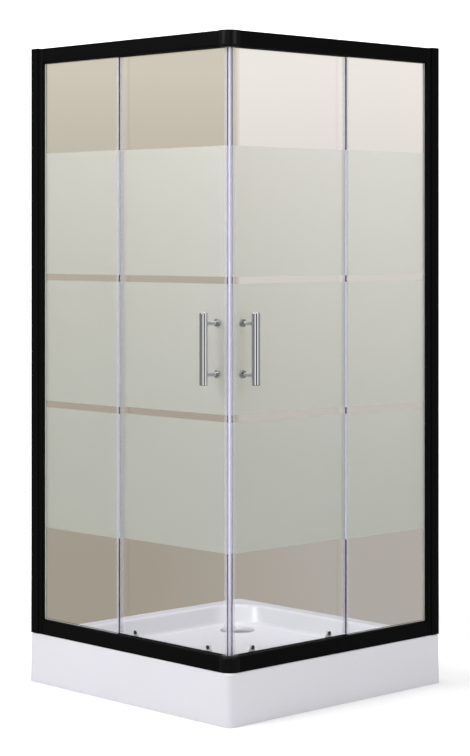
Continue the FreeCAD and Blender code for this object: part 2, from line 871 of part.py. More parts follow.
def build_knob(x):
    head = rod(knob_radius, x, knob_level, plate_depth - knob_thick, plate_depth)

    def outer_rim(edge):
        middle = edge.BoundBox
        return abs(middle.YMin - at(x, plate_depth - knob_thick, 0).y) < fit_gap and middle.YLength < fit_gap

    head = head.makeFillet(knob_round, edges_where(head, outer_rim))
    shank = rod(knob_shank_radius, x, knob_level, plate_depth, door_inner + shank_reach)
    return head.fuse(shank).removeSplitter()


def build_inner_cap(x, level, bore_radius, radius, thick, rounding):
    cap = rod(radius, x, level, door_inner, door_inner + thick)

    def inner_rim(edge):
        box = edge.BoundBox
        return abs(box.YMin - at(x, door_inner + thick, 0).y) < fit_gap and box.YLength < fit_gap

    cap = cap.makeFillet(rounding, edges_where(cap, inner_rim))
    return cap.cut(rod(bore_radius, x, level, door_inner, door_inner + shank_reach + pocket_gap))


# Handle: a bar on two posts, with washers outside the glass and domed caps inside
handle_inset = 83.0
handle_length = 206.0
handle_radius = 12.3
handle_standoff = 51.0
handle_end_round = 2.5
handle_level = 1055.0
post_spacing = 145.0
post_radius = 6.0
post_socket = 3.0
handle_shank_radius = 4.0
handle_hole_radius = 6.0
washer_radius = 11.0
washer_thick = 3.0
sleeve_short = 0.5
handle_cap_radius = 11.0
handle_cap_thick = 5.0
handle_cap_round = 2.0

handle_x = face - handle_inset
bar_depth = door_depth - handle_standoff
bar_inner = bar_depth + handle_radius
post_levels = [handle_level - post_spacing / 2, handle_level + post_spacing / 2]


def build_handle_bar():
    base = at(handle_x, bar_depth, handle_level - handle_length / 2)
    bar = Part.makeCylinder(handle_radius, handle_length, base, upwards)
    ends = [edge for edge in bar.Edges if edge.BoundBox.ZLength < fit_gap]
    bar = bar.makeFillet(handle_end_round, ends)
    socket_start = bar_inner - post_socket
    for level in post_levels:
        bar = bar.cut(rod(post_radius + fit_gap, handle_x, level, socket_start, bar_inner + overrun))
    return bar


def build_handle_post(level):
    column = rod(post_radius, handle_x, level, bar_inner - post_socket, door_depth - washer_thick)
    shank = rod(handle_shank_radius, handle_x, level, door_depth - washer_thick, door_inner + shank_reach)
    return column.fuse(shank).removeSplitter()


# Washer with a sleeve that fills the glass hole round the shank
def build_washer(level):
    washer = rod(washer_radius, handle_x, level, door_depth - washer_thick, door_depth)
    sleeve = rod(handle_hole_radius - bush_gap, handle_x, level, door_depth, door_inner - sleeve_short)
    washer = washer.fuse(sleeve).removeSplitter()
    return washer.cut(rod(handle_shank_radius + fit_gap, handle_x, level, 0, door_inner))


# Door glass with its drilled holes
def build_door_glass():
    glass = block(door_trail, door_lead, door_depth, door_inner, door_low, door_high)
    holes = [(x, top_wheel_level, stud_hole_radius) for name, x in roller_places]
    holes += [(x, knob_level, knob_shank_radius + bush_gap) for name, x in roller_places]
    holes += [(handle_x, level, handle_hole_radius) for level in post_levels]
    for x, level, radius in holes:
        glass = glass.cut(rod(radius, x, level, door_depth - overrun, door_inner + overrun))
    return glass


# Seals of the door: a bevelled magnet housing at the entry corner and a hooked seal at the trailing edge
magnet_gap = 0.5
housing_bulge = 1.0
magnet_skin = 1.0
magnet_half = 3.0
magnet_thick = 2.0
magnet_shift = 0.6

pane_near = door_depth - fit_gap
pane_far = door_inner + fit_gap
leg_near = pane_near - seal_wall
leg_far = pane_far + seal_wall
housing_near = leg_near - housing_bulge
housing_far = leg_far + housing_bulge


def bevel_x(depth):
    return face - depth - magnet_gap


def magnet_corners(play):
    half = math.sqrt(2) / 2
    middle = (housing_near + housing_far) / 2
    corners = []
    for inset, side in ((-play, -1), (-play, 1), (magnet_thick + play, 1), (magnet_thick + play, -1)):
        reach = side * (magnet_half + play) + magnet_shift
        x = bevel_x(middle) - half * (magnet_skin + inset) - half * reach
        depth = middle - half * (magnet_skin + inset) + half * reach
        corners.append((x, depth))
    return sharp(corners)


def build_magnet_seal():
    pane_end = door_lead + fit_gap
    shoulder = pane_end + seal_wall
    grip = door_lead - seal_grip
    return upright(sharp([
        (grip, leg_near), (shoulder, leg_near), (shoulder, housing_near),
        (bevel_x(housing_near), housing_near), (bevel_x(housing_far), housing_far),
        (shoulder, housing_far), (shoulder, leg_far), (grip, leg_far),
        (grip, pane_far), (pane_end, pane_far), (pane_end, pane_near), (grip, pane_near),
    ]), door_low, door_high, [magnet_corners(fit_gap)])


def build_trailing_seal():
    pane_end = door_trail - fit_gap
    grip = door_trail + seal_grip
    face_grip = door_trail + trail_face_grip
    hook_depth = fixed_inner + fit_gap + seal_wall + hook_gap
    return upright(sharp([
        (face_grip, leg_near), (pane_end, leg_near), (pane_end, hook_depth), (hook_side, hook_depth),
        (hook_side, leg_far), (grip, leg_far), (grip, pane_far), (pane_end, pane_far), (pane_end, pane_near),
        (face_grip, pane_near),
    ]), seal_low, seal_high)


fixed_glass = block(fixed_start, fixed_edge, fixed_glass_depth, fixed_inner, fixed_low, fixed_high)
save_pair("fixed_glass", [fixed_glass])
save_pair("glazing_gasket", [build_glazing_gasket(fixed_glass)])
save_pair("overlap_seal", [build_overlap_seal()])
save("door_stops", build_stops())

roller_caps = []
for roller_name, roller_x in roller_places:
    for stage, stage_level in (("top", top_wheel_level), ("bottom", bottom_wheel_level)):
        save_pair(stage + "_wheel_" + roller_name, [build_wheel(roller_x, stage_level)])
    top_bore = stud_hole_radius - bush_gap + fit_gap
    knob_bore = knob_shank_radius + fit_gap
    cap_sizes = (inner_cap_radius, cap_thick, inner_cap_round)
    roller_caps.append(build_inner_cap(roller_x, top_wheel_level, top_bore, *cap_sizes))
    cap_sizes = (knob_cap_radius, knob_cap_thick, inner_cap_round)
    roller_caps.append(build_inner_cap(roller_x, knob_level, knob_bore, *cap_sizes))

handle_caps = []
for post_level in post_levels:
    cap_sizes = (handle_cap_radius, handle_cap_thick, handle_cap_round)
    handle_caps.append(build_inner_cap(handle_x, post_level, handle_shank_radius + fit_gap, *cap_sizes))

save_pair("door_glass", [build_door_glass()])
save_pair("magnet_seal", [build_magnet_seal()])
save_pair("magnet_strip", [upright(magnet_corners(0), door_low, door_high)])
save_pair("trailing_seal", [build_trailing_seal()])
save_pair("handle_bar", [build_handle_bar()])
save_pair("handle_posts", [build_handle_post(level) for level in post_levels])
save_pair("handle_washers", [build_washer(level) for level in post_levels])
save_pair("handle_caps", handle_caps)
save_pair("top_roller_studs", [build_top_stud(x) for name, x in roller_places])
save_pair("bottom_roller_brackets", [build_bottom_bracket(x) for name, x in roller_places])
save_pair("bottom_roller_knobs", [build_knob(x) for name, x in roller_places])
save_pair("roller_caps", roller_caps)
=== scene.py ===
import math

import bpy
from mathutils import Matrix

# finishes, studio and camera of the shower enclosure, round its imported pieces
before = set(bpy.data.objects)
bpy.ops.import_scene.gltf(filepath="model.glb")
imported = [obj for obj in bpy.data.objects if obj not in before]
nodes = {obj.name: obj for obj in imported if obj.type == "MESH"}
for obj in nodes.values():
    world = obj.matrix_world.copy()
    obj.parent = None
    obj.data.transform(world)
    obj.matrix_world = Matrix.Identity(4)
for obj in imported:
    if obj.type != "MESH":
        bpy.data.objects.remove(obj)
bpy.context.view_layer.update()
print("frame loaded,", len(nodes), "nodes")


def addNode(tree, kind, x, y, **settings):
    node = tree.nodes.new(kind)
    node.location = (x, y)
    for name, value in settings.items():
        setattr(node, name, value)
    return node


def feed(tree, source, target):
    # source is a socket or a plain value
    if isinstance(source, bpy.types.NodeSocket):
        tree.links.new(source, target)
    else:
        target.default_value = source


def mathStep(tree, operation, first, second, x, y, clamp=False):
    node = addNode(tree, "ShaderNodeMath", x, y, operation=operation, use_clamp=clamp)
    feed(tree, first, node.inputs[0])
    if second is not None:
        feed(tree, second, node.inputs[1])
    return node.outputs[0]


def mixColours(tree, factor, first, second, x, y):
    # this node keeps its colour sockets at 6, 7 and 2
    node = addNode(tree, "ShaderNodeMix", x, y, data_type="RGBA")
    feed(tree, factor, node.inputs[0])
    feed(tree, first, node.inputs[6])
    feed(tree, second, node.inputs[7])
    return node.outputs[2]


def mixValues(tree, factor, low, high, x, y):
    # low where the factor is 0, high where it is 1
    node = addNode(tree, "ShaderNodeMapRange", x, y)
    feed(tree, factor, node.inputs[0])
    feed(tree, low, node.inputs[3])
    feed(tree, high, node.inputs[4])
    return node.outputs[0]


def stretchValue(tree, value, fromLow, fromHigh, x, y):
    # 0 at fromLow and 1 at fromHigh, held outside them
    node = addNode(tree, "ShaderNodeMapRange", x, y)
    feed(tree, value, node.inputs[0])
    node.inputs[1].default_value = fromLow
    node.inputs[2].default_value = fromHigh
    return node.outputs[0]


def mixShaders(tree, factor, first, second, x, y):
    node = addNode(tree, "ShaderNodeMixShader", x, y)
    feed(tree, factor, node.inputs[0])
    tree.links.new(first, node.inputs[1])
    tree.links.new(second, node.inputs[2])
    return node.outputs[0]


def startGroup(name, inputs, outputs):
    group = bpy.data.node_groups.new(name, "ShaderNodeTree")
    for socketName, kind, value in inputs:
        socket = group.interface.new_socket(socketName, in_out="INPUT", socket_type=kind)
        if value is not None:
            socket.default_value = value
    for socketName, kind in outputs:
        group.interface.new_socket(socketName, in_out="OUTPUT", socket_type=kind)
    source = addNode(group, "NodeGroupInput", -900, 0)
    target = addNode(group, "NodeGroupOutput", 700, 0)
    return group, source, target


def useGroup(tree, group, x, y, **values):
    node = addNode(tree, "ShaderNodeGroup", x, y, node_tree=group)
    for name, value in values.items():
        feed(tree, value, node.inputs[name])
    return node


# fine moulded or sprayed texture: small bumps over a slow unevenness
grainSettings = {"fineDetail": 2.0, "slowScale": 9.0, "slowDetail": 3.0}
grainGroup, grainIn, grainOut = startGroup(
    "surfaceGrain",
    [("Vector", "NodeSocketVector", None), ("Size", "NodeSocketFloat", 0.001),
     ("Unevenness", "NodeSocketFloat", 0.3)],
    [("Height", "NodeSocketFloat"), ("Mottle", "NodeSocketFloat")],
)
grainScale = mathStep(grainGroup, "DIVIDE", 1.0, grainIn.outputs["Size"], -700, 100)
fineNoise = addNode(grainGroup, "ShaderNodeTexNoise", -500, 150)
feed(grainGroup, grainIn.outputs["Vector"], fineNoise.inputs["Vector"])
feed(grainGroup, grainScale, fineNoise.inputs["Scale"])
fineNoise.inputs["Detail"].default_value = grainSettings["fineDetail"]
slowNoise = addNode(grainGroup, "ShaderNodeTexNoise", -500, -150)
feed(grainGroup, grainIn.outputs["Vector"], slowNoise.inputs["Vector"])
slowNoise.inputs["Scale"].default_value = grainSettings["slowScale"]
slowNoise.inputs["Detail"].default_value = grainSettings["slowDetail"]
slowPart = mathStep(grainGroup, "MULTIPLY", slowNoise.outputs[0], grainIn.outputs["Unevenness"], -250, -150)
grainHeight = mathStep(grainGroup, "ADD", fineNoise.outputs[0], slowPart, 0, 100)
feed(grainGroup, grainHeight, grainOut.inputs["Height"])
feed(grainGroup, slowNoise.outputs[0], grainOut.inputs["Mottle"])

# dried water: patches of small spots that make a gloss surface a little duller
marksSettings = {"spotFade": (0.34, 0.1), "patchScale": 4.0, "patchFade": (0.42, 0.72)}
marksGroup, marksIn, marksOut = startGroup(
    "waterMarks",
    [("Vector", "NodeSocketVector", None), ("Spot Size", "NodeSocketFloat", 0.02),
     ("Amount", "NodeSocketFloat", 0.5)],
    [("Mask", "NodeSocketFloat")],
)
spotScale = mathStep(marksGroup, "DIVIDE", 1.0, marksIn.outputs["Spot Size"], -700, 0)
spots = addNode(marksGroup, "ShaderNodeTexVoronoi", -500, 0)
feed(marksGroup, marksIn.outputs["Vector"], spots.inputs["Vector"])
feed(marksGroup, spotScale, spots.inputs["Scale"])
spotDots = stretchValue(marksGroup, spots.outputs["Distance"], *marksSettings["spotFade"], -250, 0)
waterPatches = addNode(marksGroup, "ShaderNodeTexNoise", -500, -300)
feed(marksGroup, marksIn.outputs["Vector"], waterPatches.inputs["Vector"])
waterPatches.inputs["Scale"].default_value = marksSettings["patchScale"]
patchField = stretchValue(marksGroup, waterPatches.outputs[0], *marksSettings["patchFade"], -250, -300)
spotField = mathStep(marksGroup, "MULTIPLY", spotDots, patchField, 0, 0, clamp=True)
spotAmount = mathStep(marksGroup, "MULTIPLY", spotField, marksIn.outputs["Amount"], 250, 0, clamp=True)
feed(marksGroup, spotAmount, marksOut.inputs["Mask"])

# frosted bands of the glass, by height in metres
bandSettings = {"lowest": 0.478, "highest": 1.628, "pitch": 0.390, "frostedShare": 370 / 390}
bandGroup, bandIn, bandOut = startGroup(
    "frostedBands", [("Vector", "NodeSocketVector", None)],
    [("Mask", "NodeSocketFloat"), ("Height", "NodeSocketFloat")],
)
bandSplit = addNode(bandGroup, "ShaderNodeSeparateXYZ", -700, 0)
feed(bandGroup, bandIn.outputs["Vector"], bandSplit.inputs[0])
bandHeight = bandSplit.outputs["Z"]
aboveLow = mathStep(bandGroup, "GREATER_THAN", bandHeight, bandSettings["lowest"], -500, 200)
belowHigh = mathStep(bandGroup, "LESS_THAN", bandHeight, bandSettings["highest"], -500, 0)
fromLow = mathStep(bandGroup, "SUBTRACT", bandHeight, bandSettings["lowest"], -500, -200)
inPitches = mathStep(bandGroup, "DIVIDE", fromLow, bandSettings["pitch"], -300, -200)
placeInPitch = mathStep(bandGroup, "FRACT", inPitches, None, -100, -200)
inBand = mathStep(bandGroup, "LESS_THAN", placeInPitch, bandSettings["frostedShare"], 100, -200)
inZone = mathStep(bandGroup, "MULTIPLY", aboveLow, belowHigh, 100, 100)
bandMask = mathStep(bandGroup, "MULTIPLY", inZone, inBand, 300, 0)
feed(bandGroup, bandMask, bandOut.inputs["Mask"])
bandRise = stretchValue(bandGroup, bandHeight, bandSettings["lowest"], bandSettings["highest"], 100, -400)
feed(bandGroup, bandRise, bandOut.inputs["Height"])
print("shared effects ready")


def startMaterial(name):
    material = bpy.data.materials.new(name)
    material.use_nodes = True
    tree = material.node_tree
    shader = tree.nodes["Principled BSDF"]
    place = addNode(tree, "ShaderNodeTexCoord", -1300, 0).outputs["Object"]
    return material, tree, shader, place


def addBump(tree, shader, height, strength, distance):
    bump = addNode(tree, "ShaderNodeBump", -200, -300)
    bump.inputs["Strength"].default_value = strength
    bump.inputs["Distance"].default_value = distance
    feed(tree, height, bump.inputs["Height"])
    feed(tree, bump.outputs[0], shader.inputs["Normal"])


def coatedFinish(name, settings):
    # opaque paint, plastic or rubber: colour with a slow mottle, grain in the bump and roughness
    material, tree, shader, place = startMaterial(name)
    grain = useGroup(tree, grainGroup, -1000, 100, Vector=place, Size=settings["grainSize"],
                     Unevenness=settings["unevenness"])
    mottle = grain.outputs["Mottle"]
    colour = mixColours(tree, mottle, settings["colour"], settings["mottleColour"], -400, 200)
    feed(tree, colour, shader.inputs["Base Color"])
    low, high = settings["roughness"]
    feed(tree, mixValues(tree, mottle, low, high, -400, -100), shader.inputs["Roughness"])
    addBump(tree, shader, grain.outputs["Height"], settings["bump"], settings["grainDepth"])
    shader.inputs["Specular IOR Level"].default_value = settings["gloss"]
    return material


blackPowder = coatedFinish("blackPowderCoat", {
    "colour": (0.0018, 0.0018, 0.0020, 1), "mottleColour": (0.0028, 0.0028, 0.0030, 1), "gloss": 0.06,
    "roughness": (0.42, 0.54), "grainSize": 0.0012, "grainDepth": 0.0001, "bump": 0.25, "unevenness": 0.2,
})
blackMoulding = coatedFinish("blackMoulding", {
    "colour": (0.0024, 0.0024, 0.0026, 1), "mottleColour": (0.0036, 0.0036, 0.0040, 1), "gloss": 0.14,
    "roughness": (0.3, 0.4), "grainSize": 0.0008, "grainDepth": 0.0001, "bump": 0.35, "unevenness": 0.3,
})
darkRubber = coatedFinish("darkRubber", {
    "colour": (0.012, 0.012, 0.012, 1), "mottleColour": (0.022, 0.022, 0.021, 1), "gloss": 0.3,
    "roughness": (0.6, 0.75), "grainSize": 0.001, "grainDepth": 0.0001, "bump": 0.4, "unevenness": 0.4,
})
paleRubber = coatedFinish("paleRubber", {
    "colour": (0.60, 0.59, 0.55, 1), "mottleColour": (0.50, 0.49, 0.46, 1), "gloss": 0.3,
    "roughness": (0.5, 0.65), "grainSize": 0.001, "grainDepth": 0.0001, "bump": 0.3, "unevenness": 0.4,
})
wheelPlastic = coatedFinish("wheelPlastic", {
    "colour": (0.72, 0.72, 0.69, 1), "mottleColour": (0.62, 0.62, 0.6, 1), "gloss": 0.5,
    "roughness": (0.35, 0.5), "grainSize": 0.0006, "grainDepth": 0.00005, "bump": 0.2, "unevenness": 0.3,
})
wastePlastic = coatedFinish("wastePlastic", {
    "colour": (0.70, 0.70, 0.68, 1), "mottleColour": (0.62, 0.62, 0.60, 1), "gloss": 0.5,
    "roughness": (0.4, 0.55), "grainSize": 0.001, "grainDepth": 0.0001, "bump": 0.2, "unevenness": 0.3,
})
magnetSleeve = coatedFinish("magnetSleeve", {
    "colour": (0.50, 0.485, 0.60, 1), "mottleColour": (0.45, 0.44, 0.54, 1), "gloss": 0.3,
    "roughness": (0.3, 0.42), "grainSize": 0.001, "grainDepth": 0.0001, "bump": 0.2, "unevenness": 0.3,
})
knobPlastic = coatedFinish("knobPlastic", {
    "colour": (0.03, 0.03, 0.035, 1), "mottleColour": (0.045, 0.045, 0.05, 1), "gloss": 0.5,
    "roughness": (0.15, 0.25), "grainSize": 0.0006, "grainDepth": 0.00005, "bump": 0.1, "unevenness": 0.2,
})


metalBasics = {"stretch": (1, 1, 1), "unevenness": 0.1, "metallic": 1.0, "spotSize": 0.006,
               "scratchDepth": 0.00003}


def metalFinish(name, ownSettings):
    # bare or plated metal: fine scratches, drawn out where stretch says so, and a few dull water marks
    settings = {**metalBasics, **ownSettings}
    material, tree, shader, place = startMaterial(name)
    stretch = addNode(tree, "ShaderNodeMapping", -1100, 0)
    feed(tree, place, stretch.inputs["Vector"])
    stretch.inputs["Scale"].default_value = settings["stretch"]
    grain = useGroup(tree, grainGroup, -850, 100, Vector=stretch.outputs[0], Size=settings["grainSize"],
                     Unevenness=settings["unevenness"])
    marks = useGroup(tree, marksGroup, -850, -200, Vector=place, Amount=settings["marks"])
    marks.inputs["Spot Size"].default_value = settings["spotSize"]
    colour = mixColours(tree, marks.outputs[0], settings["colour"], settings["dullColour"], -400, 200)
    feed(tree, colour, shader.inputs["Base Color"])
    low, high = settings["roughness"]
    scratchRough = mixValues(tree, grain.outputs["Height"], low, high, -600, -100)
    rough = mathStep(tree, "ADD", scratchRough, marks.outputs[0], -300, -100, clamp=True)
    feed(tree, rough, shader.inputs["Roughness"])
    addBump(tree, shader, grain.outputs["Height"], settings["bump"], settings["scratchDepth"])
    shader.inputs["Metallic"].default_value = settings["metallic"]
    return material


chromePlate = metalFinish("chromePlate", {
    "colour": (0.60, 0.60, 0.605, 1), "dullColour": (0.5, 0.5, 0.51, 1), "roughness": (0.03, 0.07),
    "marks": 0.15, "grainSize": 0.001, "stretch": (1, 1, 0.05), "bump": 0.04,
})
coverSteel = metalFinish("coverSteel", {
    "colour": (0.60, 0.60, 0.61, 1), "dullColour": (0.48, 0.48, 0.49, 1), "roughness": (0.14, 0.24),
    "marks": 0.2, "grainSize": 0.0015, "bump": 0.05,
})
dullSteel = metalFinish("dullSteel", {
    "colour": (0.42, 0.43, 0.45, 1), "dullColour": (0.3, 0.3, 0.32, 1), "roughness": (0.3, 0.5),
    "marks": 0.4, "grainSize": 0.0015, "bump": 0.2,
})
rollerMetal = metalFinish("rollerMetal", {
    "colour": (0.62, 0.62, 0.63, 1), "dullColour": (0.5, 0.5, 0.51, 1), "roughness": (0.22, 0.36),
    "marks": 0.25, "grainSize": 0.0008, "bump": 0.1,
})
bracketAlloy = metalFinish("bracketAlloy", {
    "colour": (0.82, 0.82, 0.85, 1), "dullColour": (0.72, 0.72, 0.74, 1), "roughness": (0.3, 0.42),
    "metallic": 0.25, "marks": 0.2, "grainSize": 0.0008, "bump": 0.1,
})
wasteSteel = metalFinish("wasteSteel", {
    "colour": (0.5, 0.5, 0.52, 1), "dullColour": (0.38, 0.38, 0.4, 1), "roughness": (0.2, 0.32),
    "marks": 0.3, "grainSize": 0.0008, "bump": 0.1,
})
darkSteel = metalFinish("darkSteel", {
    "colour": (0.05, 0.05, 0.055, 1), "dullColour": (0.08, 0.08, 0.08, 1), "roughness": (0.3, 0.45),
    "marks": 0.2, "grainSize": 0.0008, "bump": 0.1,
})


trayFinish = {
    "colour": (0.795, 0.792, 0.842, 1), "markColour": (0.75, 0.75, 0.78, 1), "roughness": (0.2, 0.26),
    "waveSize": 0.02, "unevenness": 0.6, "bump": 0.06, "waveDepth": 0.0008, "marks": 0.05, "spotSize": 0.018,
    "coat": 0.08, "coatRoughness": 0.08,
}


def trayAcrylic(settings):
    # glossy sanitary acrylic with faint water spots and a slight waviness
    material, tree, shader, place = startMaterial("trayAcrylic")
    grain = useGroup(tree, grainGroup, -1000, 100, Vector=place, Size=settings["waveSize"],
                     Unevenness=settings["unevenness"])
    marks = useGroup(tree, marksGroup, -1000, -250, Vector=place, Amount=settings["marks"])
    marks.inputs["Spot Size"].default_value = settings["spotSize"]
    colour = mixColours(tree, marks.outputs[0], settings["colour"], settings["markColour"], -400, 200)
    feed(tree, colour, shader.inputs["Base Color"])
    low, high = settings["roughness"]
    baseRough = mixValues(tree, grain.outputs["Mottle"], low, high, -600, -50)
    rough = mathStep(tree, "ADD", baseRough, marks.outputs[0], -300, -50, clamp=True)
    feed(tree, rough, shader.inputs["Roughness"])
    addBump(tree, shader, grain.outputs["Height"], settings["bump"], settings["waveDepth"])
    shader.inputs["Coat Weight"].default_value = settings["coat"]
    shader.inputs["Coat Roughness"].default_value = settings["coatRoughness"]
    return material


glassSettings = {
    "clearColour": (0.985, 0.985, 0.99, 1), "edgeColour": (0.012, 0.018, 0.020, 1), "refraction": 1.5,
    "frostPaintedShadeLow": (0.87, 0.91, 0.87, 1), "frostHigh": (1.0, 1.0, 0.99, 1), "frostRoughness": 0.3,
    "coatColour": (0.77, 0.84, 0.80, 1), "coatMottle": (0.81, 0.88, 0.85, 1), "coatRoughness": (0.6, 0.75),
    "coatShare": 0.14, "frostedEdge": (0.72, 0.80, 0.83, 1), "edgeShare": 0.9, "grainSize": 0.0015,
    "unevenness": 0.5, "bump": 0.2, "grainDepth": 0.00005, "marks": 0.04, "spotSize": 0.03,
    "passColour": (0.95, 0.955, 0.95, 1),
}


edgeLimit = 0.5  # the part of a normal across the pane under which a face counts as its edge


def edgeMask(tree, faceAxis, x, y):
    # 1 on faces that look along the pane, such as its cut edges
    normals = addNode(tree, "ShaderNodeSeparateXYZ", x - 400, y)
    feed(tree, addNode(tree, "ShaderNodeTexCoord", x - 600, y).outputs["Normal"], normals.inputs[0])
    facing = mathStep(tree, "ABSOLUTE", normals.outputs[faceAxis], None, x - 200, y)
    return mathStep(tree, "LESS_THAN", facing, edgeLimit, x, y)


def bandedGlass(name, faceAxis, settings):
    # clear glass whose bands carry a frosted coat; faceAxis is the axis that the wide faces look along
    material, tree, shader, place = startMaterial(name)
    bands = useGroup(tree, bandGroup, -1000, 100, Vector=place)
    mask = bands.outputs["Mask"]
    marks = useGroup(tree, marksGroup, -1000, -200, Vector=place, Amount=settings["marks"])
    marks.inputs["Spot Size"].default_value = settings["spotSize"]
    edge = edgeMask(tree, faceAxis, -600, -450)
    rise = bands.outputs["Height"]
    # painted shade: the frosted bands are darker towards the bottom than at the top
    frostPaintedShadeTone = mixColours(tree, rise, settings["frostPaintedShadeLow"], settings["frostHigh"], -800, 500)
    body = mixColours(tree, mask, settings["clearColour"], frostPaintedShadeTone, -600, 300)
    colour = mixColours(tree, edge, body, settings["edgeColour"], -400, 300)
    feed(tree, colour, shader.inputs["Base Color"])
    frost = mixValues(tree, mask, 0.0, settings["frostRoughness"], -600, 50)
    rough = mathStep(tree, "ADD", frost, marks.outputs[0], -300, 50, clamp=True)
    feed(tree, rough, shader.inputs["Roughness"])
    shader.inputs["IOR"].default_value = settings["refraction"]
    shader.inputs["Transmission Weight"].default_value = 1.0
    # etched coat of the bands, bright where the edge of the pane is frosted too
    grain = useGroup(tree, grainGroup, -1000, -700, Vector=place, Size=settings["grainSize"],
                     Unevenness=settings["unevenness"])
    mottle = grain.outputs["Mottle"]
    coat = addNode(tree, "ShaderNodeBsdfPrincipled", 0, -500)
    coatTone = mixColours(tree, mottle, settings["coatColour"], settings["coatMottle"], -400, -600)
    coatColour = mixColours(tree, edge, coatTone, settings["frostedEdge"], -200, -600)
    feed(tree, coatColour, coat.inputs["Base Color"])
    low, high = settings["coatRoughness"]
    feed(tree, mixValues(tree, mottle, low, high, -200, -800), coat.inputs["Roughness"])
    addBump(tree, coat, grain.outputs["Height"], settings["bump"], settings["grainDepth"])
    coverage = mixValues(tree, edge, settings["coatShare"], settings["edgeShare"], -200, -1000)
    share = mathStep(tree, "MULTIPLY", mask, coverage, 0, -1000)
    surface = mixShaders(tree, share, shader.outputs[0], coat.outputs[0], 300, 0)
    # shadow and diffuse rays pass, so the inside is lit
    lampPass = addNode(tree, "ShaderNodeBsdfTransparent", 300, -200)
    lampPass.inputs[0].default_value = settings["passColour"]
    rays = addNode(tree, "ShaderNodeLightPath", 100, 500)
    shadowRay, diffuseRay = rays.outputs["Is Shadow Ray"], rays.outputs["Is Diffuse Ray"]
    passing = mathStep(tree, "MAXIMUM", shadowRay, diffuseRay, 300, 400)
    whole = mixShaders(tree, passing, surface, lampPass.outputs[0], 550, 100)
    tree.links.new(whole, tree.nodes["Material Output"].inputs["Surface"])
    return material


sealSettings = {
    "colour": (0.80, 0.77, 0.93, 1), "mottleColour": (0.73, 0.70, 0.85, 1), "roughness": (0.2, 0.35),
    "grainSize": 0.004, "unevenness": 0.5, "bump": 0.04, "grainDepth": 0.0001,
    "legAlpha": 0.15, "wallAlpha": 0.02, "magnetAlpha": 0.6, "magnetReach": 0.0064, "magnetBlend": 0.0006,
}


def sealPlastic(name, faceAxis, holdsMagnet, settings):
    # soft clear plastic with a lilac tinge, clearest in the wall across the pane's edge
    material, tree, shader, place = startMaterial(name)
    grain = useGroup(tree, grainGroup, -1000, 100, Vector=place, Size=settings["grainSize"],
                     Unevenness=settings["unevenness"])
    mottle = grain.outputs["Mottle"]
    colour = mixColours(tree, mottle, settings["colour"], settings["mottleColour"], -400, 200)
    feed(tree, colour, shader.inputs["Base Color"])
    low, high = settings["roughness"]
    feed(tree, mixValues(tree, mottle, low, high, -400, -50), shader.inputs["Roughness"])
    addBump(tree, shader, grain.outputs["Height"], settings["bump"], settings["grainDepth"])
    wall = edgeMask(tree, faceAxis, -700, -500)
    alpha = mixValues(tree, wall, settings["legAlpha"], settings["wallAlpha"], -400, -500)
    if holdsMagnet:
        # milky round the magnets, which stand on the diagonal of the entry corner
        split = addNode(tree, "ShaderNodeSeparateXYZ", -1200, -800)
        feed(tree, place, split.inputs[0])
        across = mathStep(tree, "ADD", split.outputs["X"], split.outputs["Y"], -1000, -800)
        offCorner = mathStep(tree, "ABSOLUTE", across, None, -800, -800)
        reach = settings["magnetReach"]
        milky = stretchValue(tree, offCorner, reach, reach - settings["magnetBlend"], -600, -800)
        alpha = mixValues(tree, milky, alpha, settings["magnetAlpha"], -200, -600)
    feed(tree, alpha, shader.inputs["Alpha"])
    return material


finishes = {
    "shower_tray": trayAcrylic(trayFinish), "tray_support_frame": dullSteel, "levelling_feet": dullSteel,
    "waste_flange": wasteSteel, "waste_gasket": darkRubber, "waste_bowl": wastePlastic,
    "drain_cover": coverSteel, "wall_profile": blackPowder, "jamb": blackPowder, "top_rail": blackPowder,
    "bottom_rail": blackPowder, "wall_profile_caps": blackMoulding, "top_corner_connector": blackMoulding,
    "bottom_corner_connector": blackMoulding, "frame_screws": darkSteel, "door_stops": darkRubber,
    "glazing_gasket": paleRubber, "handle_bar": chromePlate, "handle_posts": chromePlate,
    "handle_washers": chromePlate, "handle_caps": chromePlate, "top_roller_studs": rollerMetal,
    "bottom_roller_brackets": bracketAlloy, "bottom_roller_knobs": knobPlastic, "roller_caps": chromePlate,
    "magnet_strip": magnetSleeve,
}
for half, faceAxis in (("front", "Y"), ("side", "X")):
    glass = bandedGlass(half + "Glass", faceAxis, glassSettings)
    clearSeal = sealPlastic(half + "ClearSeal", faceAxis, False, sealSettings)
    finishes[half + "_fixed_glass"] = finishes[half + "_door_glass"] = glass
    finishes[half + "_overlap_seal"] = finishes[half + "_trailing_seal"] = clearSeal
    finishes[half + "_magnet_seal"] = sealPlastic(half + "MagnetSeal", faceAxis, True, sealSettings)


def finishFor(nodeName):
    # pieces of the front and of the side share the finish of their kind
    if nodeName in finishes:
        return finishes[nodeName]
    shortName = nodeName.split("_", 1)[1]
    if "wheel" in shortName:
        return wheelPlastic
    return finishes[shortName]


for nodeName, nodeObject in nodes.items():
    nodeObject.data.materials.clear()
    nodeObject.data.materials.append(finishFor(nodeName))
print("finishes given to all nodes")

white = (1, 1, 1, 1)

# the tones that glass shows behind it: a pale beige with painted shade, darker low down and on the left, and
# neutral ones round it
throughSettings = {
    "leftLow": (0.361, 0.320, 0.254, 1), "leftHigh": (0.636, 0.582, 0.471, 1),
    "rightLow": (0.431, 0.400, 0.362, 1), "rightHigh": (0.881, 0.835, 0.771, 1),
    "roundLow": (0.62, 0.63, 0.63, 1), "roundHigh": (1.0, 1.0, 1.0, 1),
}


def paintedShadeBeige(tree, side, rise, x, y):
    # beige with painted shade: darker low down, and darker on the left than on the right
    lateRise = mathStep(tree, "MULTIPLY", rise, rise, x - 200, y)
    left = mixColours(tree, lateRise, throughSettings["leftLow"], throughSettings["leftHigh"], x, y)
    right = mixColours(tree, rise, throughSettings["rightLow"], throughSettings["rightHigh"], x, y - 250)
    return mixColours(tree, side, left, right, x + 200, y)


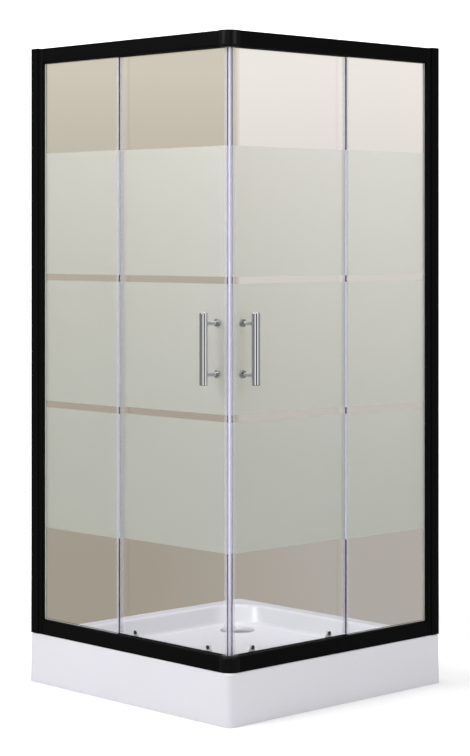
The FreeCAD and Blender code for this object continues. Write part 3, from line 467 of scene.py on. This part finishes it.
def addGlow(tree, colour, strength, x, y):
    glow = addNode(tree, "ShaderNodeEmission", x, y)
    feed(tree, colour, glow.inputs[0])
    feed(tree, strength, glow.inputs[1])
    return glow.outputs[0]


# metres on the sheet, whose Y runs away from the camera; each pair says where a change starts and ends
stageSettings = {
    "halfWidth": 6.0, "front": -6.0, "back": 3.2, "bend": 2.0, "bendSteps": 16, "height": 7.0,
    "turn": 46.35, "below": 0.0005, "colour": (0.86, 0.86, 0.86, 1), "roughness": 0.9, "gloss": 0.35,
    "floorLift": 0.16, "liftReach": (1.4, 3.0), "floorHeight": (0.05, 0.0), "toneHeight": (0.0, 2.3),
    "sharpSplit": (0.0, 0.03), "softSplit": (-0.35, 0.38), "sideFade": (2.6, 5.0), "nearFade": (-0.4, -2.6),
}


def buildBackdrop(settings):
    # one sheet, turned towards the camera: a flat floor that bends up behind the object
    outlinePoints = [(settings["front"], 0.0), (settings["back"], 0.0)]
    for step in range(1, settings["bendSteps"] + 1):
        turn = math.radians(90 * step / settings["bendSteps"])
        outlinePoints.append((settings["back"] + settings["bend"] * math.sin(turn),
                              settings["bend"] * (1 - math.cos(turn))))
    outlinePoints.append((settings["back"] + settings["bend"], settings["height"]))
    verts, faces = [], []
    for away, height in outlinePoints:
        for side in (-settings["halfWidth"], settings["halfWidth"]):
            verts.append((side, away, height))
    for index in range(len(outlinePoints) - 1):
        first = 2 * index
        faces.append((first, first + 1, first + 3, first + 2))
    mesh = bpy.data.meshes.new("backdrop")
    mesh.from_pydata(verts, [], faces)
    for polygon in mesh.polygons:
        polygon.use_smooth = True
    sheet = bpy.data.objects.new("backdrop", mesh)
    sheet.rotation_euler = (0, 0, math.radians(settings["turn"]))
    sheet.location.z = -settings["below"]
    bpy.context.scene.collection.objects.link(sheet)
    return sheet


def backdropPaper(settings):
    # white to the camera apart from the shadow, beige with painted shade through glass, light grey in
    # reflections
    material, tree, shader, place = startMaterial("palePaper")
    shader.inputs["Base Color"].default_value = settings["colour"]
    shader.inputs["Roughness"].default_value = settings["roughness"]
    split = addNode(tree, "ShaderNodeSeparateXYZ", -1100, 0)
    feed(tree, place, split.inputs[0])
    distance = addNode(tree, "ShaderNodeVectorMath", -1100, -200, operation="LENGTH")
    feed(tree, place, distance.inputs[0])
    far = stretchValue(tree, distance.outputs["Value"], *settings["liftReach"], -900, -200)
    lift = mixValues(tree, far, settings["floorLift"], 1.0, -700, -200)
    toCamera = addNode(tree, "ShaderNodeAddShader", 300, -100)
    tree.links.new(shader.outputs[0], toCamera.inputs[0])
    tree.links.new(addGlow(tree, white, lift, 0, -300), toCamera.inputs[1])
    # painted shade: the darker side starts at a line on the upright part and softly on the floor
    onFloor = stretchValue(tree, split.outputs["Z"], *settings["floorHeight"], -1100, -400)
    sharpSide = stretchValue(tree, split.outputs["X"], *settings["sharpSplit"], -1100, -500)
    softSide = stretchValue(tree, split.outputs["X"], *settings["softSplit"], -1100, -600)
    side = mixValues(tree, onFloor, sharpSide, softSide, -900, -500)
    rise = stretchValue(tree, split.outputs["Z"], *settings["toneHeight"], -900, -700)
    beigeWithPaintedShade = paintedShadeBeige(tree, side, rise, -600, -500)
    # neutral like the studio towards the edges of the sheet and on its near part
    offSide = mathStep(tree, "ABSOLUTE", split.outputs["X"], None, -900, -900)
    sideFade = stretchValue(tree, offSide, *settings["sideFade"], -700, -900)
    nearFade = stretchValue(tree, split.outputs["Y"], *settings["nearFade"], -700, -1100)
    fade = mathStep(tree, "MAXIMUM", sideFade, nearFade, -500, -1000)
    neutral = mixColours(tree, rise, throughSettings["roundLow"], throughSettings["roundHigh"], -400, -800)
    through = addGlow(tree, mixColours(tree, fade, beigeWithPaintedShade, neutral, -200, -700), 1.0, 0, -500)
    inGloss = addGlow(tree, white, settings["gloss"], 0, -700)
    rays = addNode(tree, "ShaderNodeLightPath", 0, 500)
    glossMix = mixShaders(tree, rays.outputs["Is Glossy Ray"], shader.outputs[0], inGloss, 400, 0)
    throughMix = mixShaders(tree, rays.outputs["Is Transmission Ray"], glossMix, through, 600, 0)
    seen = mixShaders(tree, rays.outputs["Is Camera Ray"], throughMix, toCamera.outputs[0], 800, 0)
    # nothing of the sheet shows from behind
    sides = addNode(tree, "ShaderNodeNewGeometry", 600, -400)
    clear = addNode(tree, "ShaderNodeBsdfTransparent", 800, -400)
    whole = mixShaders(tree, sides.outputs["Backfacing"], seen, clear.outputs[0], 1000, 0)
    tree.links.new(whole, tree.nodes["Material Output"].inputs["Surface"])
    return material


backdrop = buildBackdrop(stageSettings)
backdrop.data.materials.append(backdropPaper(stageSettings))

lampSettings = [
    {"name": "keyLamp", "place": (-1.2, -4.6, 3.6), "aim": (0, 0, 0.9), "size": 2.2, "power": 132},
    {"name": "fillLamp", "place": (4.6, 0.2, 2.6), "aim": (0, 0, 0.9), "size": 2.4, "power": 44},
    {"name": "topLamp", "place": (0.2, -0.2, 4.6), "aim": (0, 0, 0), "size": 2.6, "power": 97},
]
for settings in lampSettings:
    lampData = bpy.data.lights.new(settings["name"], "AREA")
    lampData.size = settings["size"]
    lampData.energy = settings["power"]
    lamp = bpy.data.objects.new(settings["name"], lampData)
    lamp.visible_camera = False
    lamp.location = settings["place"]
    sight = lamp.location.copy()
    for axis in range(3):
        sight[axis] = settings["aim"][axis] - settings["place"][axis]
    lamp.rotation_euler = sight.to_track_quat("-Z", "Y").to_euler()
    bpy.context.scene.collection.objects.link(lamp)

# studio round the object: one plain level for light, and panels and gaps that only reflections show, each with
# its tone at a turn in degrees or at a height from 0 to 1
worldSettings = {
    "light": 0.43, "horizon": (-0.18, 0.1),
    "panels": [(-180, 0.35), (-150, 0.28), (-110, 0.28), (-74, 0.4), (-66, 1.4), (-46, 1.4), (-41, 0.02),
               (-16, 0.02), (-8, 1.1), (20, 1.1), (34, 0.3), (70, 0.3), (85, 0.6), (160, 0.6), (180, 0.35)],
    "ceiling": [(0.0, 1.0), (0.14, 1.0), (0.2, 0.08), (0.55, 0.08), (0.62, 1.0), (1.0, 1.0)],
}


def toneRamp(tree, share, tones, x, y):
    # grey tones at given places from 0 to 1; the ends exist already
    ramp = addNode(tree, "ShaderNodeValToRGB", x, y)
    feed(tree, share, ramp.inputs[0])
    stops = ramp.color_ramp.elements
    for place, tone in tones:
        if place == 0.0:
            stop = stops[0]
        elif place == 1.0:
            stop = stops[-1]
        else:
            stop = stops.new(place)
        stop.color = (tone, tone, tone, 1)
    return ramp.outputs[0]


def buildStudio(settings):
    world = bpy.data.worlds.new("studio")
    world.use_nodes = True
    tree = world.node_tree
    light = tree.nodes["Background"]
    light.inputs[0].default_value = white
    light.inputs[1].default_value = settings["light"]
    split = addNode(tree, "ShaderNodeSeparateXYZ", -1300, 0)
    feed(tree, addNode(tree, "ShaderNodeTexCoord", -1500, 0).outputs["Generated"], split.inputs[0])
    turn = mathStep(tree, "ARCTAN2", split.outputs["Y"], split.outputs["X"], -1100, 100)
    share = stretchValue(tree, turn, -math.pi, math.pi, -900, 100)
    roundTones = [((angle + 180) / 360, tone) for angle, tone in settings["panels"]]
    panelTone = toneRamp(tree, share, roundTones, -700, 100)
    ceilingTone = toneRamp(tree, split.outputs["Z"], settings["ceiling"], -700, -100)
    panels = addNode(tree, "ShaderNodeBackground", -300, 100)
    feed(tree, panelTone, panels.inputs[0])
    feed(tree, ceilingTone, panels.inputs[1])
    rise = stretchValue(tree, split.outputs["Z"], *settings["horizon"], -900, -300)
    through = addNode(tree, "ShaderNodeBackground", -100, -300)
    neutral = mixColours(tree, rise, throughSettings["roundLow"], throughSettings["roundHigh"], -500, -300)
    feed(tree, neutral, through.inputs[0])
    plainWhite = addNode(tree, "ShaderNodeBackground", 0, -500)
    plainWhite.inputs[0].default_value = white
    rays = addNode(tree, "ShaderNodeLightPath", 0, 500)
    glossMix = mixShaders(tree, rays.outputs["Is Glossy Ray"], light.outputs[0], panels.outputs[0], 300, 0)
    throughMix = mixShaders(tree, rays.outputs["Is Transmission Ray"], glossMix, through.outputs[0], 500, 0)
    whole = mixShaders(tree, rays.outputs["Is Camera Ray"], throughMix, plainWhite.outputs[0], 700, 0)
    tree.links.new(whole, tree.nodes["World Output"].inputs["Surface"])
    return world


bpy.context.scene.world = buildStudio(worldSettings)

cameraSettings = {"place": (4.7389, -4.5198, 1.3635), "turn": 0.8089, "lens": 101.05, "shiftY": -0.1833,
                  "viewEnd": 60}
cameraData = bpy.data.cameras.new("photoCamera")
cameraData.lens = cameraSettings["lens"]
cameraData.shift_y = cameraSettings["shiftY"]
cameraData.clip_end = cameraSettings["viewEnd"]
camera = bpy.data.objects.new("photoCamera", cameraData)
camera.location = cameraSettings["place"]
camera.rotation_euler = (math.radians(90), 0, cameraSettings["turn"])
bpy.context.scene.collection.objects.link(camera)
bpy.context.scene.camera = camera
bpy.context.scene.view_settings.view_transform = "Standard"
print("stage, lamps and camera ready")
